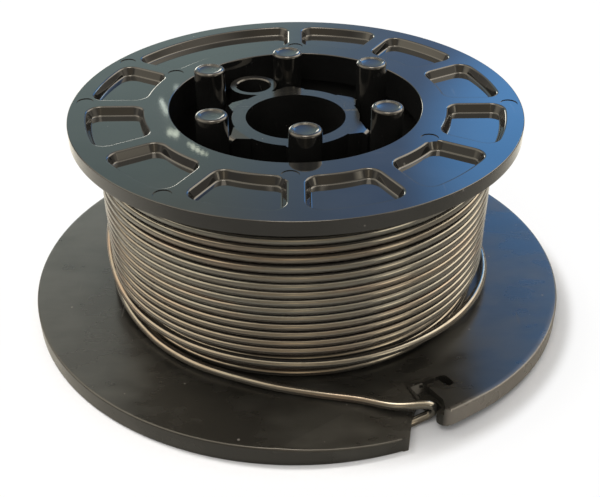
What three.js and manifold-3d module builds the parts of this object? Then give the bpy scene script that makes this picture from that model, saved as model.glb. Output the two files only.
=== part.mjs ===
// A reel of annealed steel wire: two unequal moulded flanges on a drum, a hub with six drive pegs,
// and one winding whose free end is hooked into a notch in the rim of the lower flange.
// Millimetres, +Z up, origin at the centre of the lower flange's underside.
import * as THREE from 'three';
import { mergeVertices } from 'three/addons/utils/BufferGeometryUtils.js';
import Module from 'manifold-3d';

const wasm = await Module();
wasm.setup();

// ---------------------------------------------------------------- driving dimensions

const clearance = 0.3; // drawn gap between neighbouring pieces
const overcut = 1; // how far a cutter runs past the face that it opens

// Hub: a sleeve round the bore, a web to each peg, and one boss beside the second peg
const boreRadius = 9;
const sleeveWall = 2.5;
const hubDrop = 2.8; // the hub's top face lies this far below the upper flange's top face
const webLength = 2.7;
const webThickness = 1.6;
const webRootWidth = 5.4; // a web's width where it leaves the sleeve
const webRootLength = 1.7;
const webTipDrop = 0.9; // a web's top edge falls by this much on its way to the peg
const bossBoreRadius = 3.2;
const bossWall = 1.1;
const bossPegGap = 0.35;

// Drive pegs, set into sockets in the lower flange
const pegCount = 6;
const pegFirstAngle = 35.1;
const pegRadius = 2.8;
const pegWellGap = 2.3; // room between a peg and the wall of the well
const pegProud = 3.3; // height of a tall peg's end above the upper flange's top face
const pegStep = 0.85; // the second, fourth and sixth pegs are shorter than the others by this
const pegRounding = 0.7;
const pegDishRadius = 1.7;
const pegDishDepth = 0.25;
const pegSocketDepth = 1.4;

// Drum, held between a collar on each flange
const collarWall = 0.9;
const collarHeight = 3;
const drumWall = 1.8;

// Flanges: each stands out beyond what it holds by a margin
const flangeSpacing = 32.4; // clear height between the two flanges
const upperFlangeThickness = 2.6;
const upperMargin = 5.25; // from the outermost turns' centreline to the upper rim
const lowerFlangeThickness = 3.6;
const lowerOverhang = 10.4; // from the upper rim out to the lower rim
const rimRounding = 0.5;
const lipRounding = 1.2; // round lip where the upper face turns down into the well

// Shallow pockets that core out the flanges, with a rib between neighbours
const ribCount = 12;
const ribWidth = 2.8;
const pocketCorner = 1.6;
const upperPlate = 1.1; // what is left of the upper flange under its pockets
const upperInnerBand = 4.4; // plain band between the well and the upper pockets
const upperRimBand = 3.2;
const joinedPocket = 4; // the rib with this number is left out, which leaves one double pocket
const lowerPlate = 1.7; // what is left of the lower flange above its pockets
const lowerInnerBand = 1.8;
const lowerRimBand = 1.7;

// Wire
const wireRadius = 0.66; // corner radius of the six-sided section that stands for the wire
const wireSides = 6;
const stepsPerTurn = 24;
const windingDepth = 9.35; // from the drum to the outermost turns' centreline
const turnGap = 0.487;
const layerStep = 1.35; // the layer below lies this much nearer the drum
const firstTurnRise = 5.7; // the outermost layer starts this high above the lower flange
const stepUpAngle = 60; // how far round the wire takes to climb from the layer below
const crossingGap = 0.52; // gap between the loose turn and the layer that it crosses
const looseHeight = 4.8; // the loose turn pauses this far above the lower flange
const tailGap = 0.3; // gap under the tail where it lies on the lower flange
const liftAngle = 60; // how far round the loose turn takes to leave the layer
const upperFallAngle = 225; // how far round it takes to come down to its pause
const upperFallEasing = 1.4; // over 1, it falls fastest at first
const lowerFallAngle = 120; // from the pause to the lower flange
const lieAngle = 255; // how far it then lies on the flange before the tail leaves it
const tailSteps = 5;
const hookSteps = 14;
const hookRoundness = 0.7;

// Notch, wire ledge and finger in the lower rim, in the notch's own axes: u runs outward along the
// radius at notchAngle, v runs counterclockwise across it. Depths are taken inward from the rim.
const notchAngle = -64;
const notchDepth = 6.4;
const notchShoulderDepth = 4.5; // where the left wall turns in to the throat
const notchShoulderWidth = 3.2;
const notchRightWall = 1.5; // v of the wall that the wire's hook bears on
const notchMouthLeft = -5.4; // v of the left wall at the rim
const ledgeDrop = 1.3; // the ledge lies this far below the flange's top face
const ledgeWidth = 1.7;
const ledgeLength = 9.4; // from the rim to the head of the ramp that leads down to the ledge
const ledgeLip = 0.9; // what is left between the ledge and the rim
const cornerEdge = 0.3; // v of the step that bounds the sloping corner
const ridgeWidth = 0.5; // thin ridge between the sloping corner and the ledge
const cornerDepth = 10.9;
const cornerSweep = 30; // the sloping corner begins this many degrees before the notch
const cornerSlope = 5.5; // degrees
const eyeWidth = 1.7;
const eyeDepth = 9.2;
const eyeLength = 3.1;
const fingerWidth = 2.6;
const fingerGrooveDepth = 0.8;
const fingerGrooveWidth = 0.9;

// Fineness
const circleSegments = 72;
const rodSegments = 24;
const pegSegments = 18;
const arcSegments = 2; // three.js doubles this on a circular arc
const weldDistance = 1e-4;

// ---------------------------------------------------------------- places that follow from them

const radians = THREE.MathUtils.degToRad;
const degrees = THREE.MathUtils.radToDeg;

const sleeveRadius = boreRadius + sleeveWall;
const pegCircleRadius = sleeveRadius + webLength + clearance + pegRadius;
const wellRadius = pegCircleRadius + pegRadius + pegWellGap;
const bossRadius = bossBoreRadius + bossWall;
const bossCircleRadius = sleeveRadius + bossRadius;
const collarRadius = wellRadius + collarWall;
const drumInnerRadius = collarRadius + clearance;
const drumRadius = drumInnerRadius + drumWall;
const windingRadius = drumRadius + windingDepth;
const upperFlangeRadius = windingRadius + upperMargin;
const lowerFlangeRadius = upperFlangeRadius + lowerOverhang;

const windingFloor = lowerFlangeThickness;
const windingCeiling = windingFloor + flangeSpacing;
const topFace = windingCeiling + upperFlangeThickness;
const hubTop = topFace - hubDrop;
const pegFloor = lowerFlangeThickness - pegSocketDepth;
const tallPegTop = topFace + pegProud;
const pegTops = [...Array(pegCount).keys()].map((peg) => tallPegTop - (peg % 2) * pegStep);
const lowerPocketDepth = lowerFlangeThickness - lowerPlate;

const wireHalfHeight = wireRadius * Math.cos(Math.PI / wireSides);
const turnPitch = 2 * wireHalfHeight + turnGap;
const looseRadius = windingRadius + 2 * wireRadius + crossingGap;
const chordSag = 1 - Math.cos(Math.PI / stepsPerTurn);
const coreRadiusUnder = (radius) => (radius - wireRadius) * (1 - chordSag) - clearance;

const notchThroat = lowerFlangeRadius - notchDepth;
const notchShoulder = lowerFlangeRadius - notchShoulderDepth;

// ---------------------------------------------------------------- solids and cuts

// A closed geometry as a manifold-3d solid: only positions are kept, and shared corners are merged.
function solidOf(geometry) {
  const bare = geometry.clone();
  bare.deleteAttribute('normal');
  bare.deleteAttribute('uv');
  const merged = mergeVertices(bare, weldDistance);
  const vertProperties = merged.attributes.position.array;
  const triVerts = Uint32Array.from(merged.index.array);
  return new wasm.Manifold(new wasm.Mesh({ numProp: 3, vertProperties, triVerts }));
}

function geometryOf(solid) {
  const mesh = solid.getMesh();
  const geometry = new THREE.BufferGeometry();
  geometry.setAttribute('position', new THREE.BufferAttribute(mesh.vertProperties, 3));
  geometry.setIndex(new THREE.BufferAttribute(mesh.triVerts, 1));
  geometry.computeVertexNormals();
  return geometry;
}

function join(solids) {
  return solids.reduce((whole, solid) => whole.add(solid));
}

function cut(body, cutters) {
  return cutters.reduce((rest, cutter) => rest.subtract(cutter), body);
}

// A flat outline raised from one height to another.
function prism(outline, bottom, top, curveSegments = arcSegments) {
  const geometry = new THREE.ExtrudeGeometry(outline, {
    depth: top - bottom,
    bevelEnabled: false,
    curveSegments,
  });
  return geometry.translate(0, 0, bottom);
}

// A closed radius-height profile, drawn counterclockwise, turned about the Z axis.
function turned(profile, segments = circleSegments) {
  const points = profile.getPoints(1);
  if (points[0].distanceTo(points[points.length - 1]) > 0 && points[0].x > 0) {
    points.push(points[0].clone());
  }
  return new THREE.LatheGeometry(points, segments).rotateX(Math.PI / 2);
}

// A plain tube standing between two heights.
function tube(innerRadius, outerRadius, bottom, top, segments = circleSegments) {
  const profile = new THREE.Path();
  profile.moveTo(innerRadius, bottom);
  profile.lineTo(outerRadius, bottom);
  profile.lineTo(outerRadius, top);
  profile.lineTo(innerRadius, top);
  profile.closePath();
  return turned(profile, segments);
}

function rod(radius, bottom, top, x, y, segments = rodSegments) {
  const geometry = new THREE.CylinderGeometry(radius, radius, top - bottom, segments);
  return geometry.rotateX(Math.PI / 2).translate(x, y, (top + bottom) / 2);
}

function polar(radius, bearing) {
  const angle = radians(bearing);
  return new THREE.Vector2(radius * Math.cos(angle), radius * Math.sin(angle));
}

// ---------------------------------------------------------------- flanges

// One pocket between two ribs: parallel rib sides, concentric ends and four round corners.
function pocketOutline(innerRadius, outerRadius, startAngle, endAngle) {
  const corner = Math.min(pocketCorner, (outerRadius - innerRadius) / 3);
  const inset = ribWidth / 2 + corner;
  const start = radians(startAngle);
  const end = radians(endAngle);
  const outerRun = outerRadius - corner;
  const innerRun = innerRadius + corner;
  const outerSwing = Math.asin(inset / outerRun);
  const innerSwing = Math.asin(inset / innerRun);
  const at = (run, angle) => [run * Math.cos(angle), run * Math.sin(angle)];
  const quarter = Math.PI / 2;
  const spans = Math.round(((endAngle - startAngle) * ribCount) / 360);
  const outline = new THREE.Shape();
  const sweep = (radius, from, to) => {
    for (let span = 0; span < spans; span += 1) {
      const first = THREE.MathUtils.lerp(from, to, span / spans);
      const last = THREE.MathUtils.lerp(from, to, (span + 1) / spans);
      outline.absarc(0, 0, radius, first, last, to < from);
    }
  };
  outline.absarc(...at(outerRun, start + outerSwing), corner, start - quarter, start + outerSwing);
  sweep(outerRadius, start + outerSwing, end - outerSwing);
  outline.absarc(...at(outerRun, end - outerSwing), corner, end - outerSwing, end + quarter);
  outline.absarc(
    ...at(innerRun, end - innerSwing), corner, end + quarter, end - innerSwing + 2 * quarter,
  );
  sweep(innerRadius, end - innerSwing, start + innerSwing);
  outline.absarc(
    ...at(innerRun, start + innerSwing), corner, start + innerSwing + 2 * quarter, start + 3 * quarter,
  );
  outline.closePath();
  return outline;
}

// The ring of pockets of one flange, with the rib numbers in `missing` left out.
function pocketCutters(innerRadius, outerRadius, bottom, top, missing = []) {
  const ribs = [...Array(ribCount).keys()].filter((rib) => !missing.includes(rib));
  return ribs.map((rib, place) => {
    const next = place + 1 < ribs.length ? ribs[place + 1] : ribs[0] + ribCount;
    const outline = pocketOutline(
      innerRadius, outerRadius, (rib * 360) / ribCount, (next * 360) / ribCount,
    );
    return solidOf(prism(outline, bottom, top));
  });
}

function upperFlangeSolid() {
  const profile = new THREE.Path();
  profile.moveTo(wellRadius, windingCeiling - collarHeight);
  profile.lineTo(collarRadius, windingCeiling - collarHeight);
  profile.lineTo(collarRadius, windingCeiling);
  profile.lineTo(upperFlangeRadius - rimRounding, windingCeiling);
  profile.absarc(
    upperFlangeRadius - rimRounding, windingCeiling + rimRounding, rimRounding, -Math.PI / 2, 0,
  );
  profile.absarc(upperFlangeRadius - rimRounding, topFace - rimRounding, rimRounding, 0, Math.PI / 2);
  profile.absarc(wellRadius + lipRounding, topFace - lipRounding, lipRounding, Math.PI / 2, Math.PI);
  profile.closePath();
  const pockets = pocketCutters(
    wellRadius + upperInnerBand,
    upperFlangeRadius - upperRimBand,
    windingCeiling + upperPlate,
    topFace + overcut,
    [joinedPocket],
  );
  return cut(solidOf(turned(profile)), pockets);
}

// A point given in the notch's own axes.
function notchPoint(u, v) {
  return new THREE.Vector2(u, v).rotateAround(new THREE.Vector2(), radians(notchAngle));
}

function notchShape(points) {
  return new THREE.Shape(points.map(([u, v]) => notchPoint(u, v)));
}

// The opening through the rim: a flared mouth that narrows to a throat one wire wide.
function notchCutter() {
  const mouth = lowerFlangeRadius + overcut;
  const outline = notchShape([
    [mouth, notchMouthLeft - overcut / 2],
    [lowerFlangeRadius - overcut / 4, notchMouthLeft],
    [notchShoulder, notchRightWall - notchShoulderWidth],
    [notchThroat, cornerEdge + ridgeWidth / 2],
    [notchThroat, notchRightWall],
    [lowerFlangeRadius - overcut, notchRightWall],
    [mouth, notchRightWall + overcut],
  ]);
  return solidOf(prism(outline, -overcut, lowerFlangeThickness + overcut));
}

// The ledge beside the notch's right wall, with a ramp that leads down to it from inside.
function ledgeCutter() {
  const ledgeLeft = cornerEdge + ridgeWidth;
  const ledgeRight = notchRightWall + ledgeWidth;
  const ledgeFloor = lowerFlangeThickness - ledgeDrop;
  const ledgeInnerEnd = lowerFlangeRadius - ledgeLength;
  const ledgeOuterEnd = lowerFlangeRadius - ledgeLip;
  const above = lowerFlangeThickness + overcut;
  const outline = notchShape([
    [ledgeInnerEnd - overcut, ledgeLeft],
    [notchThroat + overcut, ledgeLeft],
    [notchThroat + overcut, notchRightWall - clearance],
    [ledgeOuterEnd, notchRightWall - clearance],
    [ledgeOuterEnd, notchRightWall + ledgeWidth / 4],
    [(notchThroat + ledgeOuterEnd) / 2, ledgeRight],
    [ledgeInnerEnd - overcut, ledgeRight],
  ]);
  const side = new THREE.Shape([
    new THREE.Vector2(ledgeInnerEnd, lowerFlangeThickness),
    new THREE.Vector2(notchThroat, ledgeFloor),
    new THREE.Vector2(ledgeOuterEnd + overcut, ledgeFloor),
    new THREE.Vector2(ledgeOuterEnd + overcut, above),
    new THREE.Vector2(ledgeInnerEnd, above),
  ]);
  const ramp = prism(side, -ledgeRight - overcut, overcut);
  ramp.rotateX(Math.PI / 2).rotateZ(radians(notchAngle));
  return solidOf(ramp).intersect(solidOf(prism(outline, 0, above)));
}

// The eye beside the finger, and the groove that frees the finger's tip.
function fingerCutters() {
  const above = lowerFlangeThickness + overcut;
  const eyeLeft = notchRightWall + ledgeWidth + fingerWidth;
  const eyeMiddle = eyeLeft + eyeWidth / 2;
  const eyeInnerEnd = lowerFlangeRadius - eyeDepth;
  const eyeOuterEnd = eyeInnerEnd + eyeLength;
  const eye = new THREE.Shape();
  const inner = notchPoint(eyeInnerEnd + eyeWidth / 2, eyeMiddle);
  const outer = notchPoint(eyeOuterEnd - eyeWidth / 2, eyeMiddle);
  const across = radians(notchAngle);
  eye.absarc(inner.x, inner.y, eyeWidth / 2, across + Math.PI / 2, across + (3 * Math.PI) / 2);
  eye.absarc(outer.x, outer.y, eyeWidth / 2, across - Math.PI / 2, across + Math.PI / 2);
  eye.closePath();
  const grooveStart = notchRightWall + ledgeWidth / 2;
  const groove = notchShape([
    [eyeInnerEnd, grooveStart],
    [eyeInnerEnd + fingerGrooveWidth, grooveStart],
    [eyeInnerEnd + fingerGrooveWidth, eyeMiddle],
    [eyeInnerEnd, eyeMiddle],
  ]);
  return [
    solidOf(prism(eye, -overcut, above)),
    solidOf(prism(groove, lowerFlangeThickness - fingerGrooveDepth, above)),
  ];
}

// The corner beside the notch slopes down towards it from a line across the rim.
function cornerCutter() {
  const above = lowerFlangeThickness + overcut;
  const inner = notchPoint(lowerFlangeRadius - cornerDepth, cornerEdge);
  const start = polar(lowerFlangeRadius, notchAngle - cornerSweep);
  const reach = 2 * cornerDepth;
  const hinge = start.clone().sub(inner);
  const run = hinge.length() + 2 * reach;
  const drop = reach * Math.tan(radians(cornerSlope));
  const side = new THREE.Shape([
    new THREE.Vector2(0, lowerFlangeThickness),
    new THREE.Vector2(0, above),
    new THREE.Vector2(-reach, above),
    new THREE.Vector2(-reach, lowerFlangeThickness - drop),
  ]);
  const wedge = prism(side, -run / 2, run / 2);
  const middle = inner.clone().add(start).multiplyScalar(0.5);
  wedge.rotateX(Math.PI / 2).rotateZ(Math.atan2(hinge.y, hinge.x) - Math.PI / 2);
  wedge.translate(middle.x, middle.y, 0);
  const beyond = start.clone().multiplyScalar(1 + overcut / 2);
  const region = new THREE.Shape([
    inner,
    start,
    beyond,
    notchPoint(lowerFlangeRadius * (1 + overcut / 2), cornerEdge),
  ]);
  return solidOf(wedge).intersect(solidOf(prism(region, 0, above)));
}

function pegAngles() {
  return [...Array(pegCount).keys()].map((peg) => pegFirstAngle + (peg * 360) / pegCount);
}

function lowerFlangeSolid() {
  const profile = new THREE.Path();
  profile.moveTo(boreRadius, 0);
  profile.lineTo(lowerFlangeRadius - rimRounding, 0);
  profile.absarc(lowerFlangeRadius - rimRounding, rimRounding, rimRounding, -Math.PI / 2, 0);
  profile.absarc(
    lowerFlangeRadius - rimRounding, lowerFlangeThickness - rimRounding, rimRounding, 0, Math.PI / 2,
  );
  profile.lineTo(collarRadius, lowerFlangeThickness);
  profile.lineTo(collarRadius, lowerFlangeThickness + collarHeight);
  profile.lineTo(wellRadius, lowerFlangeThickness + collarHeight);
  profile.lineTo(wellRadius, lowerFlangeThickness);
  profile.lineTo(boreRadius, lowerFlangeThickness);
  profile.closePath();
  const sockets = pegAngles().map((angle) => {
    const centre = polar(pegCircleRadius, angle);
    const radius = pegRadius + clearance;
    return solidOf(rod(radius, pegFloor, lowerFlangeThickness + overcut, centre.x, centre.y));
  });
  return cut(solidOf(turned(profile)), [
    ...pocketCutters(
      drumRadius + lowerInnerBand, lowerFlangeRadius - lowerRimBand, -overcut, lowerPocketDepth,
    ),
    ...sockets,
    cornerCutter(),
    notchCutter(),
    ledgeCutter(),
    ...fingerCutters(),
  ]);
}

// ---------------------------------------------------------------- drum, hub and pegs

function drumSolid() {
  return solidOf(tube(drumInnerRadius, drumRadius, windingFloor, windingCeiling));
}

// One web: wide at the sleeve, narrow at the peg, its top edge falling towards the peg.
function webSolid(angle) {
  const root = sleeveRadius - sleeveWall / 2;
  const tip = pegCircleRadius - pegRadius - clearance;
  const shoulder = sleeveRadius + webRootLength;
  const outline = new THREE.Shape([
    new THREE.Vector2(root, -webRootWidth / 2),
    new THREE.Vector2(sleeveRadius, -webRootWidth / 2),
    new THREE.Vector2(shoulder, -webThickness / 2),
    new THREE.Vector2(tip, -webThickness / 2),
    new THREE.Vector2(tip, webThickness / 2),
    new THREE.Vector2(shoulder, webThickness / 2),
    new THREE.Vector2(sleeveRadius, webRootWidth / 2),
    new THREE.Vector2(root, webRootWidth / 2),
  ]);
  const fall = new THREE.Shape([
    new THREE.Vector2(sleeveRadius, hubTop),
    new THREE.Vector2(tip + overcut, hubTop - webTipDrop),
    new THREE.Vector2(tip + overcut, hubTop + overcut),
    new THREE.Vector2(sleeveRadius, hubTop + overcut),
  ]);
  const slope = prism(fall, -webRootWidth, webRootWidth).rotateX(Math.PI / 2);
  const web = solidOf(prism(outline, lowerFlangeThickness, hubTop)).subtract(solidOf(slope));
  return web.rotate([0, 0, angle]);
}

// The bearing at which the boss, tangent to the sleeve, keeps its gap to the second peg.
function bossBearing() {
  const apart = pegRadius + bossRadius + bossPegGap;
  const swing = Math.acos(
    (pegCircleRadius ** 2 + bossCircleRadius ** 2 - apart ** 2)
      / (2 * pegCircleRadius * bossCircleRadius),
  );
  return pegAngles()[1] + degrees(swing);
}

function hubSolid() {
  const boss = polar(bossCircleRadius, bossBearing());
  const root = polar(sleeveRadius, bossBearing());
  const bridge = new THREE.Vector2().addVectors(boss, root).multiplyScalar(0.5);
  const bridgeRadius = webRootWidth / 2;
  const body = join([
    solidOf(tube(boreRadius, sleeveRadius, lowerFlangeThickness, hubTop)),
    ...pegAngles().map(webSolid),
    solidOf(rod(bossRadius, lowerFlangeThickness, hubTop, boss.x, boss.y)),
    solidOf(rod(bridgeRadius, lowerFlangeThickness, hubTop, bridge.x, bridge.y)),
  ]);
  return cut(body, [
    solidOf(rod(bossBoreRadius, lowerFlangeThickness - overcut, hubTop + overcut, boss.x, boss.y)),
    solidOf(rod(boreRadius, -overcut, hubTop + overcut, 0, 0, circleSegments)),
  ]);
}

// A peg: rounded shoulder and a shallow dish in its end.
function pegGeometry(pegTop) {
  const profile = new THREE.Path();
  profile.moveTo(0, pegFloor);
  profile.lineTo(pegRadius, pegFloor);
  profile.absarc(pegRadius - pegRounding, pegTop - pegRounding, pegRounding, 0, Math.PI / 2);
  profile.lineTo(pegDishRadius, pegTop);
  profile.lineTo(pegDishRadius - pegDishDepth, pegTop - pegDishDepth);
  profile.lineTo(0, pegTop - pegDishDepth);
  return turned(profile, pegSegments);
}

// ---------------------------------------------------------------- wire

// Where the hook turns down beside the notch's right wall, in the notch's own axes.
const hookRadius = wireRadius + clearance;
const hookV = notchRightWall - clearance - wireRadius;
const hookU = notchShoulder + wireRadius;
const tailHeight = lowerFlangeThickness + tailGap + wireHalfHeight;
const hookEndHeight = lowerPocketDepth / 2;
const hookDrop = (tailHeight - hookEndHeight) / 2;

const footHeight = windingFloor + clearance + wireHalfHeight;
const layerHeight = windingFloor + firstTurnRise;
const coreStepHeight = layerHeight + wireHalfHeight + clearance;

function hookPoint(u, v, height) {
  const point = notchPoint(u, v);
  return new THREE.Vector3(point.x, point.y, height);
}

// The centreline of the whole visible wire, from the flange at the foot to the hook's end.
function wirePath() {
  const step = 360 / stepsPerTurn;
  const points = [];

  // The tail leaves the loose turn along its tangent and meets the hook.
  const hookStart = notchPoint(hookU - hookRadius, hookV - hookDrop - wireRadius);
  const hookBearing = degrees(Math.atan2(hookStart.y, hookStart.x));
  const leave = hookBearing - degrees(Math.acos(looseRadius / hookStart.length()));

  // The wire climbs at a steady pitch: first the turns of the layer below that stay uncovered, then
  // the outermost layer, whose last stretch also lifts off it. The loose turn then falls in two
  // stages and lies on the lower flange until the tail leaves it.
  const lastHeight = windingCeiling - clearance - wireHalfHeight;
  const climbSteps = Math.floor(((lastHeight - footHeight) / turnPitch) * stepsPerTurn);
  const liftSteps = liftAngle / step;
  const upperFallSteps = upperFallAngle / step;
  const lowerFallSteps = lowerFallAngle / step;
  const total = climbSteps + upperFallSteps + lowerFallSteps + lieAngle / step;
  const stepUpRise = (turnPitch * stepUpAngle) / 360;
  const pauseHeight = windingFloor + looseHeight;
  for (let i = 0; i <= total; i += 1) {
    const climbHeight = lastHeight - ((climbSteps - i) * turnPitch) / stepsPerTurn;
    const layered = THREE.MathUtils.smoothstep(climbHeight, layerHeight - stepUpRise, layerHeight);
    const lifted = THREE.MathUtils.smoothstep(i, climbSteps - liftSteps, climbSteps);
    const fallen = THREE.MathUtils.clamp((i - climbSteps) / upperFallSteps, 0, 1);
    const settled = THREE.MathUtils.smoothstep(i - climbSteps - upperFallSteps, 0, lowerFallSteps);
    const fallHeight = THREE.MathUtils.lerp(
      pauseHeight, lastHeight, (1 - fallen) ** upperFallEasing,
    );
    const height = i < climbSteps
      ? climbHeight
      : THREE.MathUtils.lerp(fallHeight, tailHeight, settled);
    const layerRadius = windingRadius - layerStep * (1 - layered);
    const radius = THREE.MathUtils.lerp(layerRadius, looseRadius, lifted);
    const place = polar(radius, leave - (total - i) * step);
    points.push(new THREE.Vector3(place.x, place.y, height));
  }

  // Straight tail, then the hook over the corner and back beneath it.
  const tailStart = points[points.length - 1];
  const tailEnd = new THREE.Vector3(hookStart.x, hookStart.y, tailHeight);
  for (let i = 1; i <= tailSteps; i += 1) {
    points.push(new THREE.Vector3().lerpVectors(tailStart, tailEnd, i / (tailSteps + 1)));
  }
  const hookMiddle = (tailHeight + hookEndHeight) / 2;
  const cornerRise = hookDrop * hookRoundness;
  const cornerBack = hookDrop * (1 - hookRoundness);
  const bend = new THREE.CatmullRomCurve3([
    tailEnd,
    hookPoint(hookU - hookRadius / 2, hookV - hookDrop, tailHeight),
    hookPoint(hookU, hookV - cornerBack, hookMiddle + cornerRise),
    hookPoint(hookU, hookV, hookMiddle),
    hookPoint(hookU, hookV - cornerBack, hookMiddle - cornerRise),
    hookPoint(hookU - hookRadius / 4, hookV - hookDrop, hookEndHeight),
    hookPoint(hookU - hookRadius / 2, hookV - hookDrop - 2 * wireRadius, hookEndHeight),
    hookPoint(hookU - hookRadius / 2, hookV - hookDrop - 4 * wireRadius, hookEndHeight),
  ], false, 'centripetal');
  points.push(...bend.getSpacedPoints(hookSteps));
  return points;
}

// The turns beneath the visible ones, as one plain body with a step for each visible layer.
function coreGeometry() {
  const innerRadius = drumRadius + clearance;
  const lowerRadius = coreRadiusUnder(windingRadius - layerStep);
  const upperRadius = coreRadiusUnder(windingRadius);
  const profile = new THREE.Path();
  profile.moveTo(innerRadius, windingFloor);
  profile.lineTo(lowerRadius, windingFloor);
  profile.lineTo(lowerRadius, coreStepHeight);
  profile.lineTo(upperRadius, coreStepHeight);
  profile.lineTo(upperRadius, windingCeiling - clearance);
  profile.lineTo(innerRadius, windingCeiling - clearance);
  profile.closePath();
  return turned(profile);
}

// One unbroken six-sided tube along a path, flat side up, closed by flat ends. Where the path runs
// steeper than `steepest`, the section keeps the side that it had before.
const steepest = 0.3;

function wireGeometry(path) {
  const up = new THREE.Vector3(0, 0, 1);
  const positions = [];
  const indices = [];
  let side = new THREE.Vector3();
  path.forEach((point, i) => {
    const before = path[Math.max(i - 1, 0)];
    const after = path[Math.min(i + 1, path.length - 1)];
    const along = new THREE.Vector3().subVectors(after, before).normalize();
    const level = new THREE.Vector3().crossVectors(along, up);
    const hint = Math.abs(along.z) < steepest && side.dot(level) >= 0 ? level : side;
    side = hint.clone().addScaledVector(along, -hint.dot(along)).normalize();
    const normal = new THREE.Vector3().crossVectors(side, along);
    for (let corner = 0; corner < wireSides; corner += 1) {
      const angle = (corner * 2 * Math.PI) / wireSides;
      const vertex = point.clone();
      vertex.addScaledVector(side, wireRadius * Math.cos(angle));
      vertex.addScaledVector(normal, wireRadius * Math.sin(angle));
      positions.push(...vertex.toArray());
    }
  });
  const rings = path.length;
  for (let ring = 0; ring + 1 < rings; ring += 1) {
    for (let corner = 0; corner < wireSides; corner += 1) {
      const a = ring * wireSides + corner;
      const b = ring * wireSides + ((corner + 1) % wireSides);
      indices.push(a, a + wireSides, b, b, a + wireSides, b + wireSides);
    }
  }
  const last = (rings - 1) * wireSides;
  for (let corner = 1; corner + 1 < wireSides; corner += 1) {
    indices.push(0, corner, corner + 1);
    indices.push(last, last + corner + 1, last + corner);
  }
  const geometry = new THREE.BufferGeometry();
  geometry.setAttribute('position', new THREE.Float32BufferAttribute(positions, 3));
  geometry.setIndex(indices);
  geometry.computeVertexNormals();
  return geometry;
}

// The least distance between corner points of the tube that lie on different turns.
function leastGap(geometry) {
  const corners = geometry.attributes.position;
  const apart = (stepsPerTurn / 2) * wireSides;
  let least = Infinity;
  const a = new THREE.Vector3();
  const b = new THREE.Vector3();
  for (let i = 0; i < corners.count; i += 1) {
    a.fromBufferAttribute(corners, i);
    for (let j = i + apart; j < corners.count; j += 1) {
      b.fromBufferAttribute(corners, j);
      least = Math.min(least, a.distanceToSquared(b));
    }
  }
  return Math.sqrt(least);
}

// ---------------------------------------------------------------- assembly

const blackPlastic = { color: 0x16171a, roughness: 0.32, metalness: 0 };
const wireFinish = { color: 0x6b6258, roughness: 0.38, metalness: 0.85 };

const reel = new THREE.Group();

function place(name, geometry, finish) {
  const mesh = new THREE.Mesh(geometry, new THREE.MeshStandardMaterial(finish));
  mesh.name = name;
  reel.add(mesh);
  return mesh;
}

place('lower_flange', geometryOf(lowerFlangeSolid()), blackPlastic);
place('upper_flange', geometryOf(upperFlangeSolid()), blackPlastic);
place('drum', geometryOf(drumSolid()), blackPlastic);
place('hub', geometryOf(hubSolid()), blackPlastic);

pegAngles().forEach((angle, peg) => {
  const centre = polar(pegCircleRadius, angle);
  const mesh = place(`drive_peg_${peg + 1}`, pegGeometry(pegTops[peg]), blackPlastic);
  mesh.position.set(centre.x, centre.y, 0);
});

place('wire_inner_layers', coreGeometry(), wireFinish);

const wire = wireGeometry(wirePath());
place('wire_outer_layer', wire, wireFinish);
console.log(`wire: least gap between turns ${leastGap(wire).toFixed(3)} mm`);

export default reel;
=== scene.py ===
import bpy
import math
from mathutils import Matrix, Vector


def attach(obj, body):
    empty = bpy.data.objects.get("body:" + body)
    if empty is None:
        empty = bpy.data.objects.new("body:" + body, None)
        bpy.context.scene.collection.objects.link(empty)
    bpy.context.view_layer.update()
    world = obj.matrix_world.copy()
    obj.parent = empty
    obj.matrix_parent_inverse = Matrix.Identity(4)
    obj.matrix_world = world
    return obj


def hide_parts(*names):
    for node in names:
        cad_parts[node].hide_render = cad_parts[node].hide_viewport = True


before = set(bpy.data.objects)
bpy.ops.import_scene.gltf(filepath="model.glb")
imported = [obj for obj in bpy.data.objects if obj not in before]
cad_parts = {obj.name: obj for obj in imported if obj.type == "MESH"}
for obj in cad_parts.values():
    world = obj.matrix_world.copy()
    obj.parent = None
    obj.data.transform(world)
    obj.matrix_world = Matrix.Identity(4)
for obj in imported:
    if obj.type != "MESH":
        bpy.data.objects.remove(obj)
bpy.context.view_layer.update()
scene = bpy.context.scene
scene.view_settings.view_transform = "Standard"
mm = 0.001
fullTurn = 2 * math.pi
hair, twinGap = 0.01, 0.002  # what counts as level and what as one vertex, in mm
print("frame loaded:", len(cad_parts), "nodes")


# selecting, and starting a mesh

def leaveEdit():
    bpy.ops.object.mode_set(mode="OBJECT")


def deselectAll():
    if bpy.context.mode != "OBJECT":
        leaveEdit()
    bpy.ops.object.select_all(action="DESELECT")


def activate(piece, mode="OBJECT"):
    deselectAll()
    piece.select_set(True)
    bpy.context.view_layer.objects.active = piece
    if mode == "EDIT":
        bpy.ops.object.mode_set(mode="EDIT")


def settle(name):
    # the new primitive gets its name, and its place goes into its mesh
    piece = bpy.context.active_object
    piece.name = name
    piece.data.name = name
    bpy.ops.object.transform_apply(location=True, rotation=True, scale=True)
    return piece


def pickAll():
    bpy.ops.mesh.select_all(action="SELECT")


def editAll(piece):
    activate(piece, "EDIT")
    pickAll()


def pickEdges(piece, wanted):
    # edit mode with just the edges for which wanted(edge, its two ends in mm) is true
    activate(piece, "EDIT")
    bpy.ops.mesh.select_mode(type="EDGE")
    bpy.ops.mesh.select_all(action="DESELECT")
    leaveEdit()
    points = [v.co / mm for v in piece.data.vertices]
    for edge in piece.data.edges:
        edge.select = bool(wanted(edge, *[points[i] for i in edge.vertices]))
    bpy.ops.object.mode_set(mode="EDIT")


def pickLevel(piece, height):
    pickEdges(piece, lambda edge, a, b: max(abs(a.z - height), abs(b.z - height)) < hair)


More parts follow.
